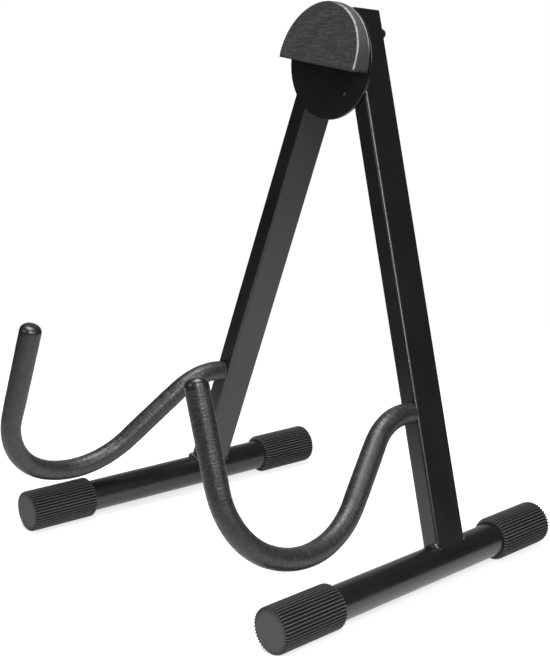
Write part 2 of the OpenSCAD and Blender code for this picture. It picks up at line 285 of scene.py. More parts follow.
def cut(obj, cutters):
    """Takes the cutters' shapes out of obj and removes them."""
    for tool in cutters:
        boolean = obj.modifiers.new("cut", "BOOLEAN")
        boolean.operation, boolean.solver, boolean.object = "DIFFERENCE", "EXACT", tool
    graph = bpy.context.evaluated_depsgraph_get()
    mesh = bpy.data.meshes.new_from_object(obj.evaluated_get(graph))
    obj.modifiers.clear()
    obj.data = mesh
    for tool in cutters:
        bpy.data.objects.remove(tool)
    mesh.set_sharp_from_angle(angle=math.radians(SHARP))


def finish_piece(obj, body, material, slot, *nodes):
    """Gives a piece its material and its body, and hides the CAD nodes that it stands for."""
    obj.data.materials.clear()
    obj.data.materials.append(material)
    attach(obj, body)
    if nodes:
        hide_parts(*nodes)


# ---- Materials -------------------------------------------------------------------------------

RANGE_SOCKETS = ("From Min", "From Max", "To Min", "To Max")


class Shader:
    """A Principled material with short calls for the procedural detail on it.

    The plain Roughness given under a linked one is what the export can fall back on."""

    def __init__(self, name, **values):
        self.material = bpy.data.materials.new(name)
        self.material.use_nodes = True
        self.nodes = self.material.node_tree.nodes
        self.links = self.material.node_tree.links
        self.surface = self.nodes["Principled BSDF"]
        for socket, value in values.items():
            self.surface.inputs[socket.replace("_", " ")].default_value = value
        place = self.nodes.new("ShaderNodeTexCoord")
        self.place = place.outputs["Object"]

    def attribute(self, name, output="Fac"):
        node = self.nodes.new("ShaderNodeAttribute")
        node.attribute_name = name
        return node.outputs[output]

    def stretched(self, source, x, y, z):
        node = self.nodes.new("ShaderNodeMapping")
        node.inputs["Scale"].default_value = (x, y, z)
        self.links.new(source, node.inputs["Vector"])
        return node.outputs["Vector"]

    def noise(self, size_mm, detail=2.0, roughness=0.5, source=None, per_metre=True):
        """Noise whose features are about size_mm across.

        per_metre is False where the source is in millimetres already."""
        node = self.nodes.new("ShaderNodeTexNoise")
        node.inputs["Scale"].default_value = 1 / (size_mm * (MM if per_metre else 1))
        node.inputs["Detail"].default_value = detail
        node.inputs["Roughness"].default_value = roughness
        self.links.new(source or self.place, node.inputs["Vector"])
        return node.outputs["Fac"]

    def cells(self, size_mm):
        node = self.nodes.new("ShaderNodeTexVoronoi")
        node.inputs["Scale"].default_value = 1 / (size_mm * MM)
        self.links.new(self.place, node.inputs["Vector"])
        return node.outputs["Distance"]

    def ramp(self, value, low, high, start=0.0, stop=1.0):
        """value from low..high mapped to start..stop and held outside it."""
        node = self.nodes.new("ShaderNodeMapRange")
        node.clamp = True
        for socket, number in zip(RANGE_SOCKETS, (low, high, start, stop)):
            node.inputs[socket].default_value = number
        self.links.new(value, node.inputs["Value"])
        return node.outputs["Result"]

    def math(self, operation, a, b):
        node = self.nodes.new("ShaderNodeMath")
        node.operation = operation
        for socket, value in zip(node.inputs, (a, b)):
            if isinstance(value, (int, float)):
                socket.default_value = value
            else:
                self.links.new(value, socket)
        return node.outputs["Value"]

    def mixed(self, share, a, b):
        """Colour a where share is 0 and b where it is 1."""
        node = self.nodes.new("ShaderNodeMix")
        node.data_type = "RGBA"
        for socket, value in ((node.inputs["Factor"], share), (node.inputs[6], a), (node.inputs[7], b)):
            if isinstance(value, tuple):
                socket.default_value = (*value, 1.0)
            else:
                self.links.new(value, socket)
        return node.outputs[2]

    def colour(self, source):
        self.links.new(source, self.surface.inputs["Base Color"])

    def roughness(self, source):
        self.links.new(source, self.surface.inputs["Roughness"])

    def bumps(self, *layers):
        """Each layer is (height, depth in millimetres, strength); they add up."""
        normal = None
        for height, depth_mm, strength in layers:
            node = self.nodes.new("ShaderNodeBump")
            node.inputs["Distance"].default_value = depth_mm * MM
            node.inputs["Strength"].default_value = strength
            self.links.new(height, node.inputs["Height"])
            if normal is not None:
                self.links.new(normal, node.inputs["Normal"])
            normal = node.outputs["Normal"]
        self.links.new(normal, self.surface.inputs["Normal"])


def grey(level, warmth=0.0):
    return (level * (1 + warmth), level, level * (1 - warmth))


def coated_steel():
    """Black powder coat: fine orange peel, a few dust specks, paler worn corners, and a painted
    highlight on the weld lump.
    """
    s = Shader("black_powder_coat", Roughness=0.3, Specular_IOR_Level=0.5, Coat_Weight=0.1,
               Coat_Roughness=0.14)
    cloud = s.noise(34, 3.0, 0.55)
    dust = s.ramp(s.noise(0.9, 2.0, 0.6), 0.70, 0.78)
    # Paler where the corners are worn, and on the foot weld's lump a painted highlight.
    wear_and_painted_light = s.ramp(s.math("MULTIPLY", s.attribute("wear_and_painted_light"), s.noise(5, 4.0, 0.7)), 0.34, 0.62)
    body = s.mixed(cloud, grey(0.0045), grey(0.0075))
    dusted = s.mixed(s.math("MULTIPLY", dust, 0.25), body, grey(0.035, 0.03))
    s.colour(s.mixed(s.math("MULTIPLY", wear_and_painted_light, 0.4), dusted, grey(0.04)))
    base = s.ramp(cloud, 0.3, 0.7, 0.26, 0.33)
    s.roughness(s.math("SUBTRACT", base, s.math("MULTIPLY", wear_and_painted_light, 0.08)))
    s.bumps((s.noise(1.5, 1.5, 0.5), 0.03, 0.5), (s.noise(0.35, 2.0, 0.5), 0.005, 0.5))
    return s.material


def black_oxide():
    """Blackened hardware, with a fine grain."""
    s = Shader("black_oxide_hardware", Roughness=0.3, Specular_IOR_Level=0.6)
    cloud = s.noise(3.0, 3.0, 0.6)
    s.colour(s.mixed(cloud, grey(0.008), grey(0.018, 0.04)))
    s.roughness(s.ramp(cloud, 0.3, 0.7, 0.24, 0.36))
    s.bumps((s.noise(0.4, 2.0, 0.5), 0.008, 0.5))
    return s.material


def moulded_rubber():
    """Matt black rubber: a fine moulded grain, a few specks, and painted light: paler rib crests and
    faces, with the grooves left darker as painted shade.
    """
    s = Shader("moulded_rubber", Roughness=0.6, Specular_IOR_Level=0.32)
    cloud = s.noise(9, 4.0, 0.6)
    wear_and_painted_light = s.attribute("wear_and_painted_light")
    patch = s.ramp(cloud, 0.35, 0.7)
    body = s.mixed(patch, grey(0.003), grey(0.006))
    # Painted light: the rib crests and the end face are painted paler, and the grooves stay darker as
    # painted shade.
    top = s.mixed(s.math("MULTIPLY", wear_and_painted_light, 0.9), body, grey(0.062))
    specks = s.ramp(s.noise(0.5, 2.0, 0.6), 0.66, 0.76)
    s.colour(s.mixed(s.math("MULTIPLY", specks, 0.2), top, grey(0.08, 0.03)))
    s.roughness(s.ramp(cloud, 0.3, 0.7, 0.56, 0.70))
    s.bumps((s.noise(0.45, 3.0, 0.6), 0.03, 0.6), (s.noise(3.5, 2.0, 0.5), 0.06, 0.35))
    return s.material


def sleeve_foam():
    """Soft foam with a satin skin: fine rings across it, small pores, and a painted highlight along its
    upper side.
    """
    s = Shader("sleeve_foam", Roughness=0.42, Specular_IOR_Level=0.5)
    cloud = s.noise(14, 4.0, 0.6)
    grain = s.attribute("grain", "Vector")
    rings = s.noise(1.0, 3.0, 0.6, s.stretched(grain, 0.7, 0.16, 0.16), per_metre=False)
    pores = s.ramp(s.cells(0.55), 0.05, 0.4)
    pebbles = s.noise(1.3, 3.0, 0.65)
    # Painted highlight: paler along the sleeve's upper side, broken up by the rings.
    wear_and_painted_light = s.ramp(s.math("MULTIPLY", s.attribute("wear_and_painted_light"), rings), 0.2, 0.6)
    speck = s.math("MULTIPLY", s.ramp(pebbles, 0.42, 0.66), 0.6)
    body = s.mixed(speck, s.mixed(s.ramp(cloud, 0.3, 0.7), grey(0.005), grey(0.012)), grey(0.032))
    s.colour(s.mixed(s.math("MULTIPLY", wear_and_painted_light, 0.7), body, grey(0.045)))
    s.roughness(s.ramp(rings, 0.35, 0.65, 0.30, 0.52))
    s.bumps((pores, 0.02, 0.35), (rings, 0.20, 1.0), (pebbles, 0.16, 0.7))
    return s.material


def pad_foam():
    """Charcoal foam with a fibrous nap, and painted highlight lines along the edges that make_pad
    marks.
    """
    s = Shader("pad_foam", Roughness=0.9, Specular_IOR_Level=0.25, Sheen_Weight=0.15,
               Sheen_Roughness=0.5)
    fibres = s.noise(1.3, 6.0, 0.72)
    tufts = s.noise(3.6, 4.0, 0.65, s.stretched(s.place, 1.0, 1.0, 0.45))
    cloud = s.noise(17, 3.0, 0.6)
    wear_and_painted_light = s.attribute("wear_and_painted_light")
    streaks = s.noise(1.5, 3.0, 0.6, s.stretched(s.place, 0.12, 1.0, 1.3))
    body = s.mixed(s.ramp(fibres, 0.36, 0.66), grey(0.002), grey(0.034))
    mottled = s.mixed(s.math("MULTIPLY", s.ramp(tufts, 0.46, 0.6), 0.4), body, grey(0.045))
    streaked = s.mixed(s.math("MULTIPLY", s.ramp(streaks, 0.44, 0.56), 0.85), mottled, grey(0.003))
    shaded = s.mixed(s.math("MULTIPLY", s.ramp(cloud, 0.35, 0.65), 0.4), streaked, grey(0.012))
    # The pale grey lines are painted highlights along the cut edge and the rear rim.
    s.colour(s.mixed(wear_and_painted_light, shaded, grey(0.42)))
    s.roughness(s.ramp(fibres, 0.3, 0.7, 0.8, 0.96))
    s.bumps((fibres, 0.16, 0.7), (tufts, 0.25, 0.5), (s.cells(0.5), 0.05, 0.4))
    return s.material


def glossy_tip():
    """Dipped vinyl: smooth and glossy, with a slight waviness and a few handling marks."""
    s = Shader("dipped_vinyl", Roughness=0.3, Specular_IOR_Level=0.5)
    cloud = s.noise(5, 3.0, 0.6)
    s.colour(s.mixed(cloud, grey(0.008), grey(0.014)))
    scuffs = s.ramp(s.noise(0.8, 4.0, 0.7), 0.5, 0.75)
    s.roughness(s.ramp(scuffs, 0.0, 1.0, 0.28, 0.42))
    s.bumps((s.noise(2.6, 1.5, 0.5), 0.05, 0.35))
    return s.material


def plug_plastic():
    """Matt moulded plastic with a spark-eroded grain."""
    s = Shader("plug_plastic", Roughness=0.5, Specular_IOR_Level=0.5)
    cloud = s.noise(6, 3.0, 0.6)
    s.colour(s.mixed(cloud, grey(0.012), grey(0.019)))
    s.roughness(s.ramp(cloud, 0.3, 0.7, 0.44, 0.58))
    s.bumps((s.noise(0.3, 2.0, 0.6), 0.02, 0.6))
    return s.material


def zinc_plate():
    """Bright zinc: a fine grain, duller patches, and faint blue and straw tints."""
    s = Shader("zinc_plate", Metallic=1.0, Roughness=0.3)
    cloud = s.noise(4, 3.0, 0.6)
    tint = s.mixed(s.ramp(cloud, 0.35, 0.65), (0.50, 0.53, 0.58), (0.60, 0.58, 0.52))
    dull = s.ramp(s.noise(1.2, 4.0, 0.7), 0.5, 0.72)
    s.colour(s.mixed(s.math("MULTIPLY", dull, 0.5), tint, grey(0.34)))
    s.roughness(s.ramp(dull, 0.0, 1.0, 0.24, 0.5))
    s.bumps((s.noise(0.35, 3.0, 0.6), 0.01, 0.6))
    return s.material


def nylon_plastic():
    """Natural nylon, slightly see-through, with a soft moulded skin."""
    s = Shader("natural_nylon", Roughness=0.42, Subsurface_Weight=0.25)
    s.surface.inputs["Subsurface Scale"].default_value = 1.5 * MM
    cloud = s.noise(3, 3.0, 0.6)
    s.colour(s.mixed(cloud, (0.66, 0.64, 0.56), (0.76, 0.75, 0.68)))
    s.roughness(s.ramp(cloud, 0.3, 0.7, 0.36, 0.5))
    s.bumps((s.noise(0.5, 2.0, 0.5), 0.01, 0.5))
    return s.material


STEEL, OXIDE, RUBBER = coated_steel(), black_oxide(), moulded_rubber()
SLEEVE, PAD, TIP = sleeve_foam(), pad_foam(), glossy_tip()
PLUG, ZINC, NYLON = plug_plastic(), zinc_plate(), nylon_plastic()


# ---- Camera ----------------------------------------------------------------------------------


def make_camera():
    """The photograph's view: from its front right, about as high as its top, looking down."""
    azimuth, elevation = math.radians(CAMERA_AZIMUTH), math.radians(CAMERA_ELEVATION)
    back = Vector((
        math.sin(azimuth) * math.cos(elevation),
        -math.cos(azimuth) * math.cos(elevation),
        math.sin(elevation),
    ))
    data = bpy.data.cameras.new("camera")
    data.lens, data.sensor_width = CAMERA_LENS, CAMERA_SENSOR
    data.shift_x, data.shift_y = CAMERA_SHIFT
    camera = bpy.data.objects.new("camera", data)
    camera.location = CAMERA_PLACE
    camera.rotation_mode = "QUATERNION"
    camera.rotation_quaternion = (-back).to_track_quat("-Z", "Y")
    bpy.context.scene.collection.objects.link(camera)
    bpy.context.scene.camera = camera


# ---- Side frames -----------------------------------------------------------------------------


def rounded_rectangle(w, d, r, flat_steps=6, corner_steps=8):
    """Points (x, y, corner) round a rectangle; corner is 1 in the middle of a rounded corner."""
    out = []
    corners = ((1, 1), (-1, 1), (-1, -1), (1, -1))
    for k, (sx, sy) in enumerate(corners):
        cx, cy = sx * (w / 2 - r), sy * (d / 2 - r)
        for i in range(corner_steps + 1):
            a = math.radians(90 * k + 90 * i / corner_steps)
            bend = 1 - abs(2 * i / corner_steps - 1)
            out.append((cx + r * math.cos(a), cy + r * math.sin(a), bend))
        nx, ny = corners[(k + 1) % 4]
        a = math.radians(90 * (k + 1))
        x0, y0 = cx + r * math.cos(a), cy + r * math.sin(a)
        x1 = nx * (w / 2 - r) + r * math.cos(a)
        y1 = ny * (d / 2 - r) + r * math.sin(a)
        for i in range(1, flat_steps):
            t = i / flat_steps
            out.append((x0 + (x1 - x0) * t, y0 + (y1 - y0) * t, 0.0))
    return out


def on_tube(x, y, radius):
    """Height in the leg's frame at which the line through (x, y) meets the base tube's top."""
    a = TUBE_IN_LEG
    foot = Vector((x, y, 0))
    across = foot - a * foot.dot(a)
    lift = UP - a * a.z
    p, q, c = lift.dot(lift), across.dot(lift), across.dot(across) - radius * radius
    return (-q + math.sqrt(max(q * q - p * c, 0))) / p


def make_leg(side):
    """A rectangular tube, coped to the base tube, with the bush's hole through it."""
    sunk = 0.6
    outline = rounded_rectangle(LEG_W, LEG_D, LEG_CORNER)
    bore = rounded_rectangle(LEG_W - 2 * LEG_WALL, LEG_D - 2 * LEG_WALL, 0.5)
    edge = 0.25
    rings, wear_and_painted_light = [], []

    def add(points, height, shrink=0.0, worn_and_painted_light=0.0):
        ring = []
        for x, y, _ in points:
            away = Vector((x, y, 0)).normalized() * shrink
            low = on_tube(x, y, TUBE_R - sunk)
            ring.append((x - away.x, y - away.y, low if height is None else height))
        rings.append(ring)
        wear_and_painted_light.append([max(worn_and_painted_light, bend) for _, _, bend in points])

    add(outline, None)
    for height in LEG_RINGS:
        add(outline, height)
    add(outline, LEG_TOP - edge)
    add(outline, LEG_TOP, edge, 1.0)
    add(bore, LEG_TOP)
    for height in LEG_BORE_RINGS:
        add(bore, height)
    add(bore, None)
    matrix = placed(side, LEG)
    leg = lofted(f"{side}_leg_tube", rings, matrix, closed=True, wear_and_painted_light=wear_and_painted_light, sharp=30)
    hole = spun("hole", ((BUSH_R, -LEG_D), (BUSH_R, LEG_D)), matrix @ moved(0, 0, PIVOT_ALONG))
    cut(leg, [hole])
    finish_piece(leg, f"{side}_frame", STEEL, "black_steel", f"{side}_leg")


def make_foot_weld(side):
    """The bead that joins the leg to the base tube, thin on the flanks, with one round lump."""
    bead_r, ripple_pitch, lump_size = 0.75, 2.3, 2.7
    lump_x, lump_y, lump_spread = 5.2, -LEG_D / 2, 5.0
    outline = rounded_rectangle(LEG_W + 0.5, LEG_D + 0.5, LEG_CORNER + 0.3, 16, 8)
    path = [Vector((x, y, on_tube(x, y, TUBE_R + 0.1))) for x, y, _ in outline]
    count, around = len(path), 20
    rings, wear_and_painted_light, distance = [], [], 0.0
    for i, middle in enumerate(path):
        ahead = (path[(i + 1) % count] - path[i - 1]).normalized()
        out = ahead.cross(UP).normalized()
        over = out.cross(ahead).normalized()
        distance += (path[i] - path[i - 1]).length if i else 0.0
        ripple = abs(math.sin(distance * math.pi / ripple_pitch))
        uneven = rough(middle.x * 0.22, middle.y * 0.22, 3.0)
        from_lump = (middle.x - lump_x) ** 2 + (middle.y - lump_y) ** 2
        lump = math.exp(-from_lump / lump_spread)
        flank = smooth((LEG_D / 2 - 1.5 - abs(middle.y)) / 2)
        radius = bead_r - 0.4 * flank + 0.12 * ripple + 0.2 * uneven
        radius += 0.4 * outline[i][2] + lump_size * lump
        ring = []
        for k in range(around):
            a = TAU * k / around
            grain = 0.07 * rough(distance * 0.9, math.cos(a), math.sin(a))
            r = radius * (1 + grain)
            ring.append(middle + out * (r * math.cos(a)) + over * (r * math.sin(a)))
        rings.append(ring)
        # Painted highlight: the lump is painted paler, standing in for its glint.
        wear_and_painted_light.append([1.8 * lump] * around)
    weld = lofted(f"{side}_foot_weld", rings, placed(side, LEG), closed=True, wear_and_painted_light=wear_and_painted_light, sharp=60)
    finish_piece(weld, f"{side}_frame", STEEL, "black_steel")


def make_leg_plug(side):
    """A moulded plug with a softly domed flange."""
    inset = LEG_WALL + 0.05
    soft = 0.5
    rings = []

    def add(w, d, r, height):
        rings.append([(x, y, height) for x, y, _ in rounded_rectangle(w, d, r)])

    inner_w, inner_d = LEG_W - 2 * inset, LEG_D - 2 * inset
    flange = LEG_TOP + PLUG_FLANGE
    add(inner_w - 1.4, inner_d - 1.4, 0.5, flange - PLUG_DEPTH)
    add(inner_w, inner_d, 0.5, flange - PLUG_DEPTH + 1.5)
    add(inner_w, inner_d, 0.5, LEG_TOP)
    add(LEG_W - 0.1, LEG_D - 0.1, LEG_CORNER, LEG_TOP + 0.02)
    for k in range(5):
        a = math.radians(22.5 * k)
        narrower = 0.1 + 2 * soft * (1 - math.cos(a))
        height = flange - soft - 0.15 + soft * math.sin(a)
        add(LEG_W - narrower, LEG_D - narrower, LEG_CORNER, height)
    for share in (0.75, 0.5, 0.25):
        lift = 0.15 * (1 - share * share)
        add((LEG_W - 1.2) * share, (LEG_D - 1.2) * share, LEG_CORNER * share, flange - 0.15 + lift)
    plug = lofted(f"{side}_plug", rings, placed(side, LEG), start=(0, 0, flange - PLUG_DEPTH),
                  end=(0, 0, flange), sharp=40)
    finish_piece(plug, f"{side}_frame", PLUG, "plug_plastic", f"{side}_leg_plug")


def make_base_tube(side):
    """The round base tube, open at both ends inside the caps."""
    front, _, length = BASES[side]
    r, inner, edge = TUBE_R, TUBE_R - TUBE_WALL, 0.3
    steps = [length * k / 14 for k in range(1, 14)]
    profile = [(inner, 0), (r - edge, 0), (r, edge)]
    profile += [(r, y) for y in steps] + [(r, length - edge), (r - edge, length), (inner, length)]
    profile += [(inner, y) for y in reversed(steps)]
    tube = spun(f"{side}_floor_tube", profile, placed(side, front), 128, closed=True)
    finish_piece(tube, f"{side}_frame", STEEL, "black_steel", f"{side}_base_tube")


def make_cap(side, end):
    """A ribbed rubber end cap: a plain face, ribs softened at both ends, a bevelled mouth."""
    per_rib = 12
    count = RIBS * per_rib
    root = CAP_R - RIB_HEIGHT
    length = CAP_LENGTHS[end]
    grip = length - CAP_LIP
    rings, wear_and_painted_light = [], []

    def add(radius, y, rib=0.0, painted_face_light=0.0):
        """rib is the share of the full rib height here, and the last value is how pale the ring is all
        round: painted light on the cap's face.

        The ribs stand a little higher except underneath, where they meet the floor."""
        ring, worn_and_painted_light = [], []
        for k in range(count):
            a = TAU * k / count - math.pi / 2
            wave = 0.5 + 0.5 * math.cos(TAU * (k % per_rib) / per_rib)
            crest = wave ** 1.25
            lift = 0.35 * rib * smooth(math.sin(a) + 0.5)
            r = radius + rib * RIB_HEIGHT * crest + lift
            ring.append((r * math.cos(a), y, r * math.sin(a)))
            # Painted light and shade: the rib crests are painted paler than the grooves.
            worn_and_painted_light.append(max(painted_face_light, rib * smooth((wave - 0.55) / 0.4)))
        rings.append(ring)
        wear_and_painted_light.append(worn_and_painted_light)

    # The face rings are painted paler all round, standing in for the light on the face.
    for radius, y in ((0.2, 0.1), (3, 0.1), (7, 0.08), (10.5, 0.05), (11.4, 0.0)):
        add(radius, y, 0, 0.9)
    add(11.8, 0.15, 0.1, 0.8)
    add(12.5, 0.2, 0.3, 0.75)
    add(13.4, 0.2, 0.8, 0.6)
    add(13.9, 0.35, 0.75)
    add(14.2, 0.8, 0.85)
    add(root, 1.6, 0.94)
    add(root, 2.8, 1.0)
    for k in range(1, 18):
        add(root, 2.2 + (grip - 3.2) * k / 18, 1.0)
    add(root, grip - 0.4, 1.0)
    fall = root - TUBE_R - 0.5
    for k in range(1, 9):
        share = k / 8
        add(root - fall * share ** 1.3, grip - 0.2 + CAP_LIP * share, 1.0 - 0.2 * share)
    mouth = TUBE_R + 0.02
    add(mouth + 0.25, length - 0.1, 0.35)
    add(mouth + 0.1, length - 0.05, 0.0)
    add(mouth, length - 0.5)
    for y in (40, 20, CAP_END):
        add(mouth, y)
    front, rear, _ = BASES[side]
    if end == "front":
        matrix = front @ moved(0, -CAP_END, 0)
    else:
        matrix = rear @ moved(0, CAP_END, 0) @ turned("Z", 180)
    cap = lofted(f"{side}_{end}_foot_cap", rings, placed(side, matrix), start=(0, 0.1, 0),
                 end=(0, CAP_END, 0), wear_and_painted_light=wear_and_painted_light, sharp=60)
    finish_piece(cap, f"{side}_frame", RUBBER, "rubber", f"{side}_{end}_cap")


# ---- Cradle arms -----------------------------------------------------------------------------


class Arm:
    """The middle line of a cradle arm, in the frame at its root, measured along the arm."""

    def __init__(self, bends, straights):
        self.stretches, at = [], 0.0
        for k, straight in enumerate(straights):
            self.stretches.append((at + straight, 0.0))
            at += straight
            if k < len(bends):
                radius, degrees = bends[k]
                at += radius * math.radians(abs(degrees))
                self.stretches.append((at, math.copysign(1 / radius, degrees)))
        self.length = at
        self.step = at / round(at / 0.05)
        heading, y, z = 0.0, 0.0, 0.0
        self.line = [(heading, y, z)]
        for i in range(round(self.length / self.step)):
            half = self.curvature((i + 0.5) * self.step) * self.step / 2
            heading += half
            y += math.sin(heading) * self.step
            z += math.cos(heading) * self.step
            heading += half
            self.line.append((heading, y, z))

    def curvature(self, at):
        for end, bend in self.stretches:
            if at <= end:
                return bend
        return 0.0

    def soft_curvature(self, at):
        """The curvature, eased over a few millimetres where a bend begins and ends."""
        spread = 9.0
        return sum(self.curvature(at + spread * (k - 3) / 3) for k in range(7)) / 7

    def at(self, at):
        """(heading, y, z) at a distance along the arm."""
        t = min(max(at / self.step, 0), len(self.line) - 1.001)
        i = int(t)
        a, b = self.line[i], self.line[i + 1]
        return tuple(a[k] + (b[k] - a[k]) * (t - i) for k in range(3))

    def point(self, at, radius, a):
        """A point round the arm: a = 0 is on the upper side, towards the bends' +Y."""
        heading, y, z = self.at(at)
        up = radius * math.cos(a)
        return (radius * math.sin(a), y + up * math.cos(heading), z - up * math.sin(heading))


ARMS = {side: Arm(*shape[2:4]) for side, shape in ARM_SHAPES.items()}


def sleeve_radius(side, at):
    """The sleeve's plain radius: stretched thinner round the bends, and wider at its end."""
    arm, flare = ARMS[side], ARM_SHAPES[side][4]
    tight, stretch, plump, flare_length = 60, 0.32, 0.12, 90
    thin = stretch * clamp(abs(arm.soft_curvature(at)) * tight)
    return SLEEVE_R + plump - thin + flare * smooth((at - arm.length + flare_length) / flare_length)


def make_sleeve(side):
    """Foam pushed over the bent rod: it wrinkles on the inside of bends and swells a little."""
    around, step, tight, clearance = 64, 0.42, 60.0, 0.05
    arm = ARMS[side]
    seed = 0.0 if side == "right" else 40.0
    rings, wear_and_painted_light, grain = [], [], []

    def plain(at, radius):
        rings.append([arm.point(at, radius, TAU * k / around) for k in range(around)])
        wear_and_painted_light.append([0.0] * around)
        grain.append([(at, 0.0, 0.0)] * around)

    start, end, soft = SLEEVE_START, arm.length, 0.8
    plain(start, ROD_R + clearance)
    for k in range(5):
        short = soft * (1 - math.sin(math.radians(22.5 * k)))
        plain(start + short, sleeve_radius(side, start) - short)
    count = int((end - start - soft) / step)
    for i in range(1, count):
        at = start + soft + (end - start - soft) * i / count
        bend = arm.soft_curvature(at)
        body = sleeve_radius(side, at)
        ring, worn_and_painted_light, lay = [], [], []
        swell = 0.10 * rough(at / 26, seed, 1.0)
        hold = smooth(min(at - start, end - at) / 6)
        for k in range(around):
            a = TAU * k / around
            ca, sa = math.cos(a), math.sin(a)
            inside = max(0.0, ca * math.copysign(1, bend)) * clamp(abs(bend) * tight)
            fine = rough(at / 0.95, ca * 0.8 + seed, sa * 0.8, 2)
            broad = rough(at / 3.4, ca * 0.9 - seed, sa * 0.9, 2)
            height = swell + 0.06 * fine * (1 + 0.7 * inside) + 0.07 * broad * (0.6 + 1.2 * inside)
            ring.append(arm.point(at, body + height * hold, a))
            # Painted highlight: paler towards the upper side, where a is near 0.
            worn_and_painted_light.append(clamp(0.5 + 0.5 * fine) * smooth(0.5 + ca))
            lay.append((at, ca * SLEEVE_R + seed, sa * SLEEVE_R))
        rings.append(ring)
        wear_and_painted_light.append(worn_and_painted_light)
        grain.append(lay)
    last = sleeve_radius(side, end)
    plain(end - 0.04, last)
    plain(end, last - 0.04)
    plain(end, ROD_R + clearance)
    inner = 60
    for k in range(1, inner):
        plain(end + (start - end) * k / inner, ROD_R + clearance)
    sleeve = lofted(f"{side}_foam_sleeve", rings, arm_frame(side), closed=True, wear_and_painted_light=wear_and_painted_light,
                    grain=grain, sharp=70)
    finish_piece(sleeve, f"{side}_frame", SLEEVE, "sleeve_foam", f"{side}_arm_sleeve")


def make_tip(side):
    """A dipped end with a rounded rim and a nearly flat middle, flush with the sleeve."""
    arm = ARMS[side]
    r = sleeve_radius(side, arm.length)
    profile = [(r - 0.05, 0.0), (r, 0.05), (r, TIP_COLLAR / 2)]
    steps, crown, flat = 24, 0.3, r - TIP_ROUND
    for k in range(steps):
        a = math.radians(90 * k / steps)
        profile.append((flat + TIP_ROUND * math.cos(a), TIP_COLLAR + (TIP_ROUND - crown) * math.sin(a)))
    for share in (0.97, 0.75, 0.5, 0.25):
        profile.append((flat * share, TIP_COLLAR + TIP_ROUND - crown * share * share))
    heading, y, z = arm.at(arm.length)
    outwards = turned("X", -math.degrees(heading)) @ turned("X", 90)
    matrix = arm_frame(side) @ moved(0, y, z) @ outwards
    tip = spun(f"{side}_tip", profile, matrix, 64)
    finish_piece(tip, f"{side}_frame", TIP, "tip_rubber", f"{side}_arm_tip")


# ---- Head ------------------------------------------------------------------------------------


def make_plate():
    """The round stamped plate: countersunk bolt holes, the rivet's hole, one punched dimple."""
    front, back, soft = -PLATE_FRONT, -PLATE_BACK, 0.6
    profile = [(PLATE_R - 1.2, front)] + arc_profile(PLATE_R - soft, front + soft, soft, -90, 0, 6)
    profile += arc_profile(PLATE_R - 0.25, back - 0.25, 0.25, 0, 90, 3) + [(PLATE_R - 0.8, back)]
    plate = spun("head_disc", profile, HEAD @ moved(0, 0, -PLATE_DROP), 192)
    cutters = []
    sink = BOLT_HEAD_R - BOLT_R
    bore = BOLT_R + 0.05
    hole = ((BOLT_HEAD_R + 1.0, front - 1.0), (bore, front + sink), (bore, back + 1))
    for x in (-PIVOT.x / MM, PIVOT.x / MM):
        cutters.append(spun("hole", hole, HEAD @ moved(x, 0, 0), 48))
    rivet = ((STOP_R / 2, front - 1), (STOP_R / 2, back + 1))
    cutters.append(spun("hole", rivet, HEAD @ moved(0, 0, STOP_UP), 48))
    ball = (DIMPLE_R ** 2 + DIMPLE_DEPTH ** 2) / (2 * DIMPLE_DEPTH)
    angles = [math.radians(9 * k) for k in range(1, 20)]
    dent = [(ball * math.sin(a), -ball * math.cos(a)) for a in angles]
    place = HEAD @ moved(DIMPLE_SIDE, front + DIMPLE_DEPTH - ball, -PLATE_DROP - DIMPLE_DROP)
    cutters.append(spun("dent", dent, place, 48))
    cut(plate, cutters)
    finish_piece(plate, "head", STEEL, "black_steel", "head_plate")


def pad_outline(inset):
    """The half-moon's outline moved inwards by inset: points (x, z) from the pad's centre."""
    radius, edge = PAD_R - inset, -PAD_EDGE_DROP + inset
    reach = math.sqrt(radius * radius - edge * edge)
    first = math.atan2(edge, reach)
    arc_steps, edge_steps, out = 230, 90, []
    for k in range(arc_steps):
        a = first + (math.pi - 2 * first) * k / arc_steps
        out.append((radius * math.cos(a), radius * math.sin(a)))
    for k in range(edge_steps):
        out.append((-reach + 2 * reach * k / edge_steps, edge))
    return out


